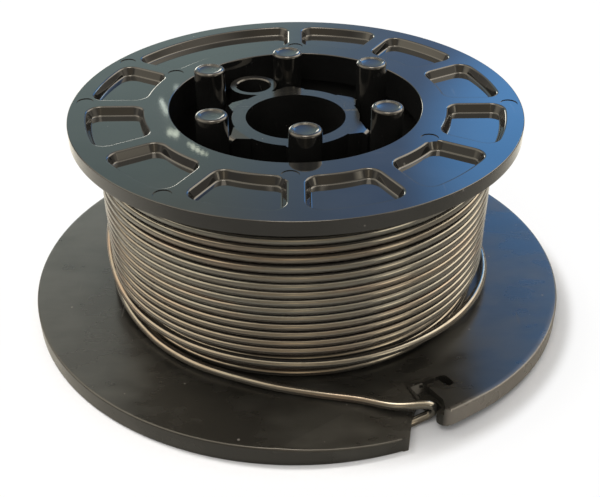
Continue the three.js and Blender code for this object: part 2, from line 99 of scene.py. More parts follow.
def bevelPicked(width, segments, clamp=True):
    bpy.ops.mesh.bevel(offset=width * mm, segments=segments, profile=0.5, affect="EDGES",
                       clamp_overlap=clamp)
    leaveEdit()


def creaseAngles(piece):
    # the angle across each edge, by its pair of vertices
    normals = {}
    for face in piece.data.polygons:
        for key in face.edge_keys:
            normals.setdefault(key, []).append(face.normal.copy())
    return {key: pair[0].angle(pair[1], 0.0) for key, pair in normals.items() if len(pair) == 2}


def bevelCreases(piece, width, segments, inRegion, least=35, clamp=True):
    # rounds the sharp edges whose middles lie in a region
    angles = creaseAngles(piece)

    def wanted(edge, a, b):
        sharp = angles.get(tuple(sorted(edge.vertices)), 0) > math.radians(least)
        return sharp and inRegion((a + b) / 2)

    pickEdges(piece, wanted)
    bevelPicked(width, segments, clamp)


def drawLine(name, points):
    # a plane merged to one vertex, then extruded from point to point
    deselectAll()
    bpy.ops.mesh.primitive_plane_add(size=mm)
    piece = settle(name)
    bpy.ops.object.mode_set(mode="EDIT")
    bpy.ops.mesh.select_mode(type="VERT")
    pickAll()
    bpy.ops.mesh.merge(type="CENTER")
    places = [Vector(p) * mm for p in points]
    bpy.ops.transform.translate(value=places[0])
    for before, after in zip(places, places[1:]):
        bpy.ops.mesh.extrude_region_move(TRANSFORM_OT_translate={"value": after - before})
    return piece


def tidyNormals():
    pickAll()
    bpy.ops.mesh.remove_doubles(threshold=twinGap * mm)
    bpy.ops.mesh.normals_make_consistent(inside=False)
    leaveEdit()


def spinProfile(name, profile, steps, closed=True):
    # a radius-height profile spun about the Z axis
    points = [(r, 0, z) for r, z in profile]
    piece = drawLine(name, points + points[:1] if closed else points)
    pickAll()
    bpy.ops.mesh.spin(steps=steps, angle=fullTurn, center=(0, 0, 0), axis=(0, 0, 1))
    tidyNormals()
    return piece


def tube(name, inner, outer, bottom, top, steps):
    return spinProfile(name, [(inner, bottom), (outer, bottom), (outer, top), (inner, top)],
                       steps)


def raiseOutline(name, outline, bottom, top):
    # a flat outline filled and extruded upwards
    piece = drawLine(name, [(x, y, bottom) for x, y in outline])
    pickAll()
    bpy.ops.mesh.edge_face_add()
    bpy.ops.mesh.extrude_region_move(TRANSFORM_OT_translate={"value": (0, 0, (top - bottom) * mm)})
    tidyNormals()
    return piece


def rod(name, radius, bottom, top, x=0, y=0, sides=96):
    deselectAll()
    bpy.ops.mesh.primitive_cylinder_add(
        vertices=sides, radius=radius * mm, depth=(top - bottom) * mm,
        location=(x * mm, y * mm, (top + bottom) / 2 * mm))
    return settle(name)


def slice(piece, point, normal):
    # cuts away what lies on the side that the normal points to, and closes the cut
    editAll(piece)
    bpy.ops.mesh.bisect(plane_co=Vector(point) * mm, plane_no=normal, use_fill=True,
                        clear_outer=True)
    leaveEdit()


def copyOf(piece, name, turn=0.0, shift=(0, 0, 0)):
    # a copy with its own mesh, turned about Z and moved in its mesh
    twin = piece.copy()
    twin.data = piece.data.copy()
    twin.name = name
    twin.data.name = name
    bpy.context.collection.objects.link(twin)
    twin.data.transform(Matrix.Translation(Vector(shift) * mm) @ Matrix.Rotation(turn, 4, "Z"))
    return twin


def joined(pieces, name):
    activate(pieces[0])
    for piece in pieces:
        piece.select_set(True)
    bpy.ops.object.join()
    whole = bpy.context.active_object
    whole.name = name
    whole.data.name = name
    return whole


def combine(piece, tool, operation="DIFFERENCE"):
    activate(piece)
    step = piece.modifiers.new("combine", "BOOLEAN")
    step.operation = operation
    step.solver = "EXACT"
    step.object = tool
    bpy.ops.object.modifier_apply(modifier=step.name)
    bpy.data.objects.remove(tool)


def smoothFaces(piece, angle=32):
    activate(piece)
    bpy.ops.object.shade_smooth_by_angle(angle=math.radians(angle))
    step = piece.modifiers.new("even faces", "WEIGHTED_NORMAL")
    step.keep_sharp = True
    bpy.ops.object.modifier_apply(modifier=step.name)


def polar(radius, bearing):
    angle = math.radians(bearing)
    return Vector((radius * math.cos(angle), radius * math.sin(angle)))


def smoothStep(value, low, high):
    t = min(max((value - low) / (high - low), 0), 1)
    return t * t * (3 - 2 * t)


def alongTable(table, x):
    # a smooth curve through the table's points, without overshoot
    if x <= table[0][0]:
        return table[0][1]
    if x >= table[-1][0]:
        return table[-1][1]
    slopes = [(q[1] - p[1]) / (q[0] - p[0]) for p, q in zip(table, table[1:])]
    tangents = [slopes[0]]
    for before, after in zip(slopes, slopes[1:]):
        tangents.append(0 if before * after <= 0 else 2 * before * after / (before + after))
    tangents.append(slopes[-1])
    i = next(k for k in range(len(slopes)) if x <= table[k + 1][0])
    (start, low), (end, high) = table[i:i + 2]
    run = end - start
    t = (x - start) / run
    rise = t * t * (3 - 2 * t)
    leaving, arriving = t * (1 - t) ** 2 * tangents[i], t * t * (t - 1) * tangents[i + 1]
    return low + (high - low) * rise + run * (leaving + arriving)


# camera, floor and light

cameraView = {"place": (0.0, -151.14, 109.0), "yaw": 0.0041, "pitch": 0.5935, "roll": -0.0067,
              "lens": 55.47, "sensor": 36, "clip": (0.005, 20)}


def setCamera():
    values = cameraView
    ahead = Vector((math.sin(values["yaw"]) * math.cos(values["pitch"]),
                    math.cos(values["yaw"]) * math.cos(values["pitch"]),
                    -math.sin(values["pitch"])))
    level = ahead.cross(Vector((0, 0, 1))).normalized()
    above = level.cross(ahead)
    c, s = math.cos(values["roll"]), math.sin(values["roll"])
    right, up = c * level + s * above, -s * level + c * above
    turned = Matrix((right, up, -ahead)).transposed()
    deselectAll()
    bpy.ops.object.camera_add()
    camera = bpy.context.active_object
    camera.name = "camera"
    camera.matrix_world = Matrix.Translation(Vector(values["place"]) * mm) @ turned.to_4x4()
    camera.data.lens = values["lens"]
    camera.data.sensor_width = values["sensor"]
    camera.data.clip_start, camera.data.clip_end = values["clip"]
    scene.camera = camera


# small helpers for node trees

def addNode(tree, kind, place, **settings):
    node = tree.nodes.new(kind)
    node.location = place
    for name, value in settings.items():
        setattr(node, name, value)
    return node


def feed(tree, target, value):
    # a number or colour is set, anything else is linked
    if isinstance(value, bpy.types.NodeSocket):
        tree.links.new(value, target)
    else:
        target.default_value = value


def setInputs(node, values):
    for name, value in values.items():
        node.inputs[name].default_value = value


def sums(tree, operation, a, b, place, clamp=False):
    node = addNode(tree, "ShaderNodeMath", place, operation=operation, use_clamp=clamp)
    feed(tree, node.inputs[0], a)
    feed(tree, node.inputs[1], b)
    return node.outputs[0]


def times(tree, a, b, place):
    return sums(tree, "MULTIPLY", a, b, place)


def vectorValue(tree, operation, a, b, place):
    # one number from one or two vectors
    node = addNode(tree, "ShaderNodeVectorMath", place, operation=operation)
    feed(tree, node.inputs[0], a)
    if b is not None:
        feed(tree, node.inputs[1], b)
    return node.outputs["Value"]


def spread(tree, value, low, high, place=(0, 0), toLow=0.0, toHigh=1.0):
    # a smooth step from toLow to toHigh
    node = addNode(tree, "ShaderNodeMapRange", place, interpolation_type="SMOOTHSTEP")
    feed(tree, node.inputs["Value"], value)
    setInputs(node, {"From Min": low, "From Max": high, "To Min": toLow, "To Max": toHigh})
    return node.outputs["Result"]


def blendColours(tree, mask, first, second, place=(0, 0)):
    node = addNode(tree, "ShaderNodeMix", place, data_type="RGBA")
    feed(tree, node.inputs[0], mask)
    feed(tree, node.inputs[6], first)
    feed(tree, node.inputs[7], second)
    return node.outputs[2]


def noise(tree, vector, scale, detail, place, roughness=0.5):
    node = addNode(tree, "ShaderNodeTexNoise", place)
    feed(tree, node.inputs["Vector"], vector)
    feed(tree, node.inputs["Scale"], scale)
    setInputs(node, {"Detail": detail, "Roughness": roughness})
    return node.outputs["Fac"]


def stretched(tree, vector, amounts, place):
    node = addNode(tree, "ShaderNodeMapping", place)
    feed(tree, node.inputs["Vector"], vector)
    node.inputs["Scale"].default_value = amounts
    return node.outputs[0]


def startMaterial(name):
    material = bpy.data.materials.new(name)
    material.use_nodes = True
    tree = material.node_tree
    where = addNode(tree, "ShaderNodeTexCoord", (-1800, 0))
    return material, tree, tree.nodes["Principled BSDF"], where.outputs["Object"]


def grey(value):
    return (value, value, value, 1)


# room: what the gloss sees is tinted, what lights the colours is plain

room = {
    "diffuse": 0.56, "base": (0.5, 0.45, 0.38, 1),
    # bearing and height in degrees, full within the first reach and gone by the second, colour
    "patches": [
        (0, 90, 15, 40, (3.0, 2.65, 2.1)), (-90, 20, 12, 40, (0.8, 0.66, 0.46)),
        (-90, 22, 3, 11, (2.3, 1.9, 1.35)), (-165, 46, 8, 34, (3.2, 2.85, 2.2)),
        (-20, 42, 8, 34, (1.7, 1.5, 1.2)), (92, 26, 12, 34, (0.3, 0.41, 0.52)),
        (108, 24, 9, 25, (0.72, 0.94, 0.92)), (97, 44, 3, 16, (0.74, 0.72, 0.62)),
        (113, 42, 3, 14, (1.6, 1.55, 1.35)), (66, 34, 8, 28, (0.4, 0.7, 1.3)),
        (72, 27.5, 3, 10, (0.6, 1.75, 3.7)), (60, 27, 2.5, 4.5, (7, 8, 8)),
        (165, 42, 8, 32, (3.8, 3.35, 2.6)), (28, 42, 8, 32, (6.4, 5.7, 4.6)),
        (108, 8, 6, 11, (7, 6.8, 6)), (-38, 14, 6, 14, (4.4, 3.9, 3.0)),
        (0, 90, 6, 12, (17, 15.2, 12.5)),
        # a few small bright glints
        (98.95, 24.7, 0.05, 0.2, (4.6, 5.2, 4.7)), (98.85, 24.95, 0.05, 0.2, (5, 5.6, 5)),
        (98.7, 25.25, 0.06, 0.22, (5, 5.6, 5)), (98.55, 26.5, 0.1, 0.26, (4.8, 5.3, 4.4)),
        (98.2, 26.62, 0.1, 0.26, (5, 5.5, 4.6)), (97.4, 27.32, 0.03, 0.17, (3.4, 3.8, 3.2)),
        (97.15, 27.5, 0.05, 0.2, (4.4, 4.8, 4)), (96.85, 27.66, 0.05, 0.2, (4.4, 4.8, 4)),
        (96.55, 27.82, 0.05, 0.19, (4, 4.4, 3.6)), (96.25, 27.95, 0.04, 0.17, (3, 3.4, 2.8)),
        (97.9, 23.9, 0.05, 0.24, (2.4, 2.8, 2.6)),
    ],
}


def buildRoom():
    world = bpy.data.worlds.new("room")
    scene.world = world
    world.use_nodes = True
    tree = world.node_tree
    tree.nodes.clear()
    where = addNode(tree, "ShaderNodeTexCoord", (-1400, 0))
    colour = room["base"]
    for i, (bearing, rise, full, gone, tint) in enumerate(room["patches"]):
        toward = (*polar(math.cos(math.radians(rise)), bearing), math.sin(math.radians(rise)))
        row = -250 * (i + 1)
        along = vectorValue(tree, "DOT_PRODUCT", where.outputs["Generated"], toward, (-800, row))
        mask = spread(tree, along, math.cos(math.radians(gone)), math.cos(math.radians(full)),
                      (-600, row))
        colour = blendColours(tree, mask, colour, (*tint, 1), (-400 + 150 * i, -100))
    path = addNode(tree, "ShaderNodeLightPath", (1200, 500))
    colour = blendColours(tree, path.outputs["Is Glossy Ray"], grey(room["diffuse"]), colour,
                          (1400, 0))
    colour = blendColours(tree, path.outputs["Is Camera Ray"], colour, grey(1), (1600, 0))
    light = addNode(tree, "ShaderNodeBackground", (1800, 0))
    feed(tree, light.inputs["Color"], colour)
    out = addNode(tree, "ShaderNodeOutputWorld", (2000, 0))
    tree.links.new(light.outputs[0], out.inputs[0])


floorValues = {
    "size": 3000, "colour": (0.87, 0.865, 0.86, 1), "fibreColour": (0.9, 0.9, 0.9, 1),
    "fibreScale": 900, "roughness": 0.8, "level": 0.2,
    # what the camera sees is mostly plain white, from the first distance to the second
    "ownWhite": 0.85, "whiteFrom": (51.6, 54.6), "whiteAbout": (0.4, -0.3),
    # the tint of the paper in the gloss, from the front of the spool to its back, with the border's
    # slant and its two distances in metres; the darker front is painted shade on the paper as
    # reflected
    "frontSeen": (0.5, 0.47, 0.4, 1), "backSeen": (0.98, 0.93, 0.8, 1),
    "slant": 0.45, "border": (-0.06, 0.02),
}


def buildFloor():
    values = floorValues
    deselectAll()
    bpy.ops.mesh.primitive_plane_add(size=values["size"] * mm)
    ground = settle("ground")
    material, tree, paper, spot = startMaterial("paperWhite")
    fibre = noise(tree, spot, values["fibreScale"], 3, (-600, 0))
    shade = blendColours(tree, fibre, values["colour"], values["fibreColour"], (-300, 0))
    parts = addNode(tree, "ShaderNodeSeparateXYZ", (-600, -600))
    tree.links.new(spot, parts.inputs[0])
    side = times(tree, parts.outputs["X"], values["slant"], (-500, -700))
    back = spread(tree, sums(tree, "SUBTRACT", parts.outputs["Y"], side, (-450, -650)),
                  *values["border"], (-400, -600))
    # painted shade: the paper seen in reflections is darker toward the front
    seen = blendColours(tree, back, values["frontSeen"], values["backSeen"], (-300, -500))
    path = addNode(tree, "ShaderNodeLightPath", (-600, 400))
    shade = blendColours(tree, path.outputs["Is Glossy Ray"], shade, seen, (-150, 0))
    feed(tree, paper.inputs["Base Color"], shade)
    setInputs(paper, {"Roughness": values["roughness"], "Specular IOR Level": values["level"]})
    white = addNode(tree, "ShaderNodeEmission", (0, -400))
    white.inputs["Color"].default_value = grey(1)
    middle = (*(Vector(values["whiteAbout"]) * mm), 0)
    away = vectorValue(tree, "DISTANCE", spot, middle, (-600, 700))
    near, far = values["whiteFrom"]
    share = spread(tree, away, near * mm, far * mm, (-450, 700), 0, values["ownWhite"])
    share = times(tree, path.outputs["Is Camera Ray"], share, (-300, 300))
    mix = addNode(tree, "ShaderNodeMixShader", (200, -200))
    feed(tree, mix.inputs[0], share)
    tree.links.new(paper.outputs[0], mix.inputs[1])
    tree.links.new(white.outputs[0], mix.inputs[2])
    tree.links.new(mix.outputs[0], tree.nodes["Material Output"].inputs[0])
    ground.data.materials.append(material)


lampAim = (0, 0, 20)
lamps = {
    "key": {"place": (-480, 277, 1400), "size": (260, 260), "power": 13,
            "colour": (1, 0.985, 0.97)},
    "front": {"place": (-300, -700, 1300), "size": (700, 500), "power": 5,
              "colour": (1, 0.98, 0.96)},
}


def buildLamps():
    for name, values in lamps.items():
        deselectAll()
        bpy.ops.object.light_add(type="AREA", location=Vector(values["place"]) * mm)
        lamp = bpy.context.active_object
        lamp.name = name
        lamp.data.shape = "RECTANGLE"
        lamp.data.size = values["size"][0] * mm
        lamp.data.size_y = values["size"][1] * mm
        lamp.data.energy = values["power"]
        lamp.data.color = values["colour"]
        lamp.visible_glossy = False
        aim = Vector(lampAim) - Vector(values["place"])
        lamp.rotation_euler = aim.to_track_quat("-Z", "Y").to_euler()


setCamera()
buildRoom()
buildFloor()
buildLamps()
print("camera, floor and light ready")


# effects that several finishes share

effectValues = {
    "speckEdge": 0.03, "scuffLines": {300: (1, 26, 9), 0: (24, 1.4, 8)},
    "lineFrom": (0.69, 0.76), "patchFrom": (0.5, 0.62),
    "smearRun": (2.2, 5.5, 3), "smearShares": (0.6, 0.4), "sinkScale": 110, "grainScale": 2600,
}


def newGroup(name, output, **amounts):
    # a vector and some numbers go in, one number comes out
    group = bpy.data.node_groups.new(name, "ShaderNodeTree")
    face = group.interface
    face.new_socket("Vector", in_out="INPUT", socket_type="NodeSocketVector")
    for label, value in amounts.items():
        face.new_socket(label, in_out="INPUT", socket_type="NodeSocketFloat").default_value = value
    face.new_socket(output, in_out="OUTPUT", socket_type="NodeSocketFloat")
    return (group, addNode(group, "NodeGroupInput", (-1200, 0)).outputs,
            addNode(group, "NodeGroupOutput", (800, 0)).inputs[output])


def buildDust():
    # loose specks: a few cells of a cell pattern each hold one small dot
    group, given, out = newGroup("dustSpecks", "Mask", Scale=400, Size=0.16, Share=0.3)
    cells = addNode(group, "ShaderNodeTexVoronoi", (-900, 0))
    feed(group, cells.inputs["Vector"], given["Vector"])
    feed(group, cells.inputs["Scale"], given["Scale"])
    chance = addNode(group, "ShaderNodeSeparateColor", (-700, -200))
    feed(group, chance.inputs[0], cells.outputs["Color"])
    kept = sums(group, "LESS_THAN", chance.outputs[0], given["Share"], (-500, -200))
    reach = times(group, chance.outputs[1], given["Size"], (-500, -400))
    near = sums(group, "SUBTRACT", reach, cells.outputs["Distance"], (-300, 0))
    dot = spread(group, near, 0.0, effectValues["speckEdge"], (-100, 0))
    feed(group, out, times(group, dot, kept, (200, 0)))
    return group


def buildScuffs():
    # fine scratches in two directions, broken up by a coarse noise
    group, given, out = newGroup("handlingScuffs", "Mask", Scale=60)
    lines = []
    for row, amounts in effectValues["scuffLines"].items():
        moved = stretched(group, given["Vector"], amounts, (-900, row))
        streak = noise(group, moved, given["Scale"], 2, (-700, row))
        lines.append(spread(group, streak, *effectValues["lineFrom"], (-500, row)))
    patch = noise(group, given["Vector"], given["Scale"], 2, (-700, -400))
    patch = spread(group, patch, *effectValues["patchFrom"], (-500, -400))
    both = sums(group, "MAXIMUM", *lines, (-200, 0))
    feed(group, out, times(group, both, patch, (100, 0)))
    return group


def buildSmears():
    # soft greasy patches, as a value about 0.5
    group, given, out = newGroup("softSmears", "Value", Scale=30)
    wide = noise(group, given["Vector"], given["Scale"], 4, (-700, 100), 0.6)
    moved = stretched(group, given["Vector"], effectValues["smearRun"], (-900, -200))
    thin = noise(group, moved, given["Scale"], 3, (-700, -200), 0.55)
    more, less = effectValues["smearShares"]
    feed(group, out, sums(group, "ADD", times(group, wide, more, (-400, 100)),
                          times(group, thin, less, (-400, -200)), (-100, 0)))
    return group


def buildMouldGrain():
    # the skin of a moulded part: slow sink marks under a fine grain, as a height
    group, given, out = newGroup("mouldGrain", "Height", Sink=0.7, Grain=0.05)
    slow = noise(group, given["Vector"], effectValues["sinkScale"], 1, (-700, 200))
    fine = noise(group, given["Vector"], effectValues["grainScale"], 2, (-700, -200))
    feed(group, out, sums(group, "ADD", times(group, slow, given["Sink"], (-400, 200)),
                          times(group, fine, given["Grain"], (-400, -200)), (-100, 0)))
    return group


effects = {"dust": buildDust(), "scuffs": buildScuffs(), "smears": buildSmears(),
           "grain": buildMouldGrain()}


def effect(tree, name, place, **values):
    node = addNode(tree, "ShaderNodeGroup", place, node_tree=effects[name])
    for label, value in values.items():
        feed(tree, node.inputs[label], value)
    return node.outputs[0]


# finishes

def addBump(tree, shader, height, values):
    bump = addNode(tree, "ShaderNodeBump", (-300, -500))
    setInputs(bump, {"Strength": values["bump"], "Distance": values["bumpDepth"] * mm})
    feed(tree, bump.inputs["Height"], height)
    tree.links.new(bump.outputs[0], shader.inputs["Normal"])


def paintedRimLight(tree, spot, values):
    # painted light: one stretch of the rim, by how far out it lies toward a bearing, is made paler
    # as if it caught reflected light
    flat = stretched(tree, spot, (1, 1, 0), (-1600, 900))
    bearing = (*polar(1, values["paleBearing"]), 0)
    masks = []
    for kind, other, reach, row in (("DOT_PRODUCT", bearing, "paleReach", 900),
                                    ("LENGTH", None, "paleRadii", 1100)):
        near, far = values[reach]
        out = vectorValue(tree, kind, flat, other, (-1400, row))
        masks.append(spread(tree, out, near * mm, far * mm, (-1200, row)))
    return times(tree, *masks, (-1000, 1000))


def blackPlastic(name, values):
    v = values
    material, tree, shader, spot = startMaterial(name)
    smears = effect(tree, "smears", (-1400, 200), Vector=spot, Scale=v["smearScale"])
    scuffs = effect(tree, "scuffs", (-1400, 0), Vector=spot, Scale=v["scuffScale"])
    dust = effect(tree, "dust", (-1400, -200), Vector=spot, Scale=v["dustScale"],
                  Size=v["dustSize"], Share=v["dustShare"])
    # lint is longer, wider apart and rarer than the dust
    lint = effect(tree, "dust", (-1400, -400),
                  Vector=stretched(tree, spot, (1, v["lintThin"], 1), (-1600, -500)),
                  Scale=v["dustScale"] * v["lintScale"], Size=v["lintSize"],
                  Share=v["dustShare"] * v["lintShare"])
    grain = effect(tree, "grain", (-1400, -700), Vector=spot, Sink=v["sink"], Grain=v["grain"])
    cloud = spread(tree, smears, *v["cloudFrom"], (-1100, 200))
    colour = blendColours(tree, cloud, v["dark"], v["light"], (-800, 200))
    colour = blendColours(tree, times(tree, scuffs, v["scuffShow"], (-1000, 0)), colour,
                          v["scuffColour"], (-600, 150))
    specks = sums(tree, "MAXIMUM", dust, lint, (-1000, -300))
    colour = blendColours(tree, times(tree, specks, v["dustShow"], (-800, -300)), colour,
                          v["dustColour"], (-400, 100))
    # the paler rim stretch is painted light, not a colour of the plastic
    if "paleBearing" in v:
        colour = blendColours(tree, paintedRimLight(tree, spot, v), colour, v["paintedRimLightColour"], (-200, 100))
    feed(tree, shader.inputs["Base Color"], colour)
    rough = spread(tree, smears, *v["glossFrom"], (-1100, 500), *v["gloss"])
    rough = sums(tree, "ADD", rough, times(tree, scuffs, v["scuffRough"], (-900, 400)),
                 (-700, 450))
    rough = sums(tree, "ADD", rough, times(tree, specks, v["dustRough"], (-900, 550)),
                 (-500, 450), clamp=True)
    feed(tree, shader.inputs["Roughness"], rough)
    height = sums(tree, "SUBTRACT", grain, times(tree, scuffs, v["scuffDepth"], (-900, -600)),
                  (-700, -700))
    addBump(tree, shader, height, v)
    setInputs(shader, {"Specular IOR Level": v["level"], "IOR": v["ior"]})
    return material


plasticValues = {
    "dark": (0.01, 0.0098, 0.009, 1), "light": (0.016, 0.0156, 0.0145, 1),
    "cloudFrom": (0.42, 0.62), "smearScale": 30, "gloss": (0.12, 0.22), "glossFrom": (0.36, 0.66),
    "scuffScale": 60, "scuffShow": 0.25, "scuffRough": 0.22, "scuffDepth": 0.04,
    "scuffColour": (0.09, 0.085, 0.08, 1),
    "dustScale": 520, "dustSize": 0.15, "dustShare": 0.1, "dustShow": 0.3, "dustRough": 0.3,
    "dustColour": (0.32, 0.29, 0.25, 1),
    "lintThin": 0.22, "lintScale": 0.4, "lintSize": 0.1, "lintShare": 0.4,
    "sink": 1.0, "grain": 0.05, "bump": 0.5, "bumpDepth": 0.1, "level": 0.48, "ior": 1.5,
}


def plasticFor(name, **changes):
    return blackPlastic(name, {**plasticValues, **changes})


def finishPiece(piece, material, slotName, *nodes):
    piece.data.materials.clear()
    piece.data.materials.append(material)
    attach(piece, "root")
    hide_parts(*nodes)


# upper flange

upperFlange = {
    "radius": 40, "bottom": 36, "top": 38.6, "well": 22.4, "sides": 288,
    "pocketInner": 26.8, "pocketOuter": 36.8, "pocketFloor": 37.1, "ribWidth": 2.8, "corner": 2.3,
    "leastCorner": 0.35, "over": 0.4, "ribs": 12, "joined": 4, "floorRound": 0.25,
    "edgeRound": 0.28, "edgesFrom": (25, 38), "lipRound": 0.2, "lipFrom": (22, 22.8),
    "rimRound": 0.18, "collarOuter": 23.3, "collarBottom": 33, "collarSink": 0.3,
    # how far the pockets' walls lean in per mm, from which height, and which way they open
    "draft": 0.5, "mouth": 38.6, "opens": 1,
    # the round marks of the mould's ejectors, by radius and bearing
    "marks": [(37.6, 179), (37.8, -2), (37.8, -122), (37.6, 150), (26.4, -33), (26.4, -92),
              (26.2, 90), (26.2, 150)], "markRadius": 1.5, "markDepth": 0.12,
}
upperFlangeFinish = {"gloss": (0.015, 0.045), "scuffRough": 0.05, "bump": 0.1}


def arcPoints(centre, radius, start, end, steps):
    angles = [start + (end - start) * i / steps for i in range(steps + 1)]
    return [(centre[0] + radius * math.cos(a), centre[1] + radius * math.sin(a)) for a in angles]


def pocketOutline(span, values, inset=0.0):
    # from one rib to the next: parallel rib sides, concentric ends and four round corners,
    # all moved in by the inset; each step of the long ends is about 2.2 degrees
    inner, outer = values["pocketInner"] + inset, values["pocketOuter"] - inset
    corner = max(values["corner"] - inset, values["leastCorner"])
    side = values["ribWidth"] / 2 + inset + corner
    outerRun, innerRun = outer - corner, inner + corner
    outerSwing, innerSwing = math.asin(side / outerRun), math.asin(side / innerRun)
    quarter = math.pi / 2
    steps = max(6, round(math.degrees(span) / 2.2))

    def at(run, angle):
        return (run * math.cos(angle), run * math.sin(angle))

    def cornerArc(run, swing, start, end):
        return arcPoints(at(run, swing), corner, start, end, 6)

    points = cornerArc(outerRun, outerSwing, -quarter, outerSwing)
    points += arcPoints((0, 0), outer, outerSwing, span - outerSwing, steps)[1:-1]
    points += cornerArc(outerRun, span - outerSwing, span - outerSwing, span + quarter)
    points += cornerArc(innerRun, span - innerSwing, span + quarter,
                        span - innerSwing + 2 * quarter)
    points += arcPoints((0, 0), inner, span - innerSwing, innerSwing, steps)[1:-1]
    points += cornerArc(innerRun, innerSwing, innerSwing + 2 * quarter, 3 * quarter)
    return points


def loft(name, lower, upper, bottom, top):
    # two outlines of as many points each, bridged and closed
    loops = [drawLine(name, [(x, y, bottom) for x, y in lower + lower[:1]]),
             drawLine(name, [(x, y, top) for x, y in upper + upper[:1]])]
    piece = joined(loops, name)
    editAll(piece)
    bpy.ops.mesh.remove_doubles(threshold=twinGap * mm)
    bpy.ops.mesh.bridge_edge_loops()
    leaveEdit()
    for height in (bottom, top):
        pickLevel(piece, height)
        bpy.ops.mesh.edge_face_add()
        leaveEdit()
    activate(piece, "EDIT")
    tidyNormals()
    return piece


def pocketCutter(name, bottom, top, spanRibs, values):
    # the outline is the pocket's mouth, and the floor's edge is rounded
    span = fullTurn / values["ribs"] * spanRibs
    insets = [(values["mouth"] - z) * values["opens"] * values["draft"] for z in (bottom, top)]
    piece = loft(name, pocketOutline(span, values, insets[0]),
                 pocketOutline(span, values, insets[1]), bottom, top)
    pickLevel(piece, bottom if values["opens"] > 0 else top)
    bevelPicked(values["floorRound"], 3)
    return piece


def pocketRing(bottom, top, values):
    # one pocket is made and copied round; a double one takes the place of a left-out rib
    pitch = fullTurn / values["ribs"]
    double = values["joined"]
    single = pocketCutter("pocketCutter", bottom, top, 1, values)
    cutters = [copyOf(single, f"pocket{rib}", rib * pitch) for rib in range(values["ribs"])
               if double is None or rib not in (double - 1, double)]
    if double is not None:
        wide = pocketCutter("doubleCutter", bottom, top, 2, values)
        wide.data.transform(Matrix.Rotation((double - 1) * pitch, 4, "Z"))
        cutters.append(wide)
    bpy.data.objects.remove(single)
    return joined(cutters, "pockets")


def buildUpperFlange():
    v = upperFlange
    piece = rod("upperFlangeBody", v["radius"], v["bottom"], v["top"], sides=v["sides"])
    well = rod("wellCutter", v["well"], v["bottom"] - 1, v["top"] + 1, sides=v["sides"])
    combine(piece, pocketRing(v["pocketFloor"], v["top"] + v["over"], v))
    combine(piece, well)
    marks = [rod(f"mark{i}", v["markRadius"], v["top"] - v["markDepth"], v["top"] + 1,
                 *polar(r, b), sides=40) for i, (r, b) in enumerate(v["marks"])]
    combine(piece, joined(marks, "marks"))

    def onTop(point, reach):
        return abs(point.z - v["top"]) < hair and reach[0] < point.xy.length < reach[1]

    def onMark(point):
        return any((point.xy - polar(r, b)).length < v["markRadius"] + 0.05
                   for r, b in v["marks"])

    bevelCreases(piece, v["edgeRound"], 4,
                 lambda m: onTop(m, v["edgesFrom"]) and not onMark(m), clamp=False)
    bevelCreases(piece, v["lipRound"], 6, lambda m: onTop(m, v["lipFrom"]), clamp=False)
    bevelCreases(piece, v["rimRound"], 4, lambda m: m.xy.length > v["radius"] - 0.1, clamp=False)
    collar = tube("collar", v["well"], v["collarOuter"], v["collarBottom"],
                  v["bottom"] + v["collarSink"], 144)
    piece = joined([piece, collar], "upperFlangeBody")
    smoothFaces(piece)
    finishPiece(piece, plasticFor("upperFlangePlastic", **upperFlangeFinish), "reel_plastic",
                "upper_flange")


buildUpperFlange()
print("upper flange ready")


# lower flange

lowerFlange = {
    "radius": 50.4, "thick": 3.6, "bore": 9, "sides": 360, "rimRound": 0.35, "edgeRound": 0.15,
    "pocketInner": 27.2, "pocketOuter": 48.7, "pocketTop": 1.9, "ribWidth": 2.8, "corner": 1.6,
    "leastCorner": 0.35, "under": 0.4, "ribs": 12, "joined": None, "floorRound": 0.3,
    "collarInner": 22.4, "collarOuter": 23.3, "collarTop": 6.6, "collarSink": 0.3,
    "draft": 0.25, "mouth": 0, "opens": -1,
    # the body is spun from the first radius, and a rod up to the second fills its middle
    "spunFrom": 20, "middle": 21, "mergeUnder": 0.06,
    "rimOver": 0.2, "clearOfCorner": 1.1, "edgesFrom": (38, 50),
    "edgesAbove": 0.5, "edgesBefore": -20,
    # how far the edge on the notch's right is bent up, by bearing, and from which radius
    "bend": [(-75, 2.05), (-57, 2.0), (-48, 1.45), (-38, 1.0), (-25, 0.5), (-8, 0.1), (5, 0)],
    "bendSpan": (-85, 5), "bendSide": (-0.75, -0.05), "bendPower": 1.5, "bendFrom": 38,
    "rings": 9,
}

lowerFlangeFinish = {
    "gloss": (0.24, 0.37), "dustShare": 0.16, "smearScale": 45,
    "dark": (0.013, 0.012, 0.0098, 1), "light": (0.029, 0.0275, 0.023, 1),
    # painted light: the stretch of the rim beside the notch is made paler, standing in for
    # reflected light on its side
    "paleBearing": -42, "paleReach": (43.5, 49), "paleRadii": (49.2, 50.2),
    "paintedRimLightColour": (0.15, 0.132, 0.108, 1),
}

# the notch's own axes: u outward along its bearing, v counterclockwise across it
notch = {
    "bearing": -64, "throat": 44, "shoulder": 45.9, "shoulderWidth": 3.2, "rightWall": 1.5,
    "mouthLeft": -5.0, "ledgeFloor": 2.3, "ledgeWidth": 1.7, "ledgeInner": 41, "ledgeOuter": 49.5,
    "cornerEdge": 0.3, "ridge": 0.5, "cornerInner": 39.5, "cornerSweep": 30, "cornerSlope": 5.5,
    "eyeWidth": 1.7, "eyeInner": 41.2, "eyeOuter": 44.3, "finger": 2.6, "groove": 0.9,
    "grooveDepth": 0.8, "mouthEdge": 0.25, "overlap": 0.3, "narrow": 0.42, "narrowFrom": 3,
    # outward from the rim and across from the right wall, the mouth's rounded corner
    "mouthRound": [(-1.6, 0), (-0.9, 0.25), (-0.4, 0.8), (1, 2.6)],
    # outward from the throat and across from the right wall, the slot for the hook
    "slot": [(1.4, -0.3), (4, -0.3), (3.6, 1.2), (1.8, 1.4)],
}


def notchPoint(u, v):
    angle = math.radians(notch["bearing"])
    return Vector((u * math.cos(angle) - v * math.sin(angle),
                   u * math.sin(angle) + v * math.cos(angle)))


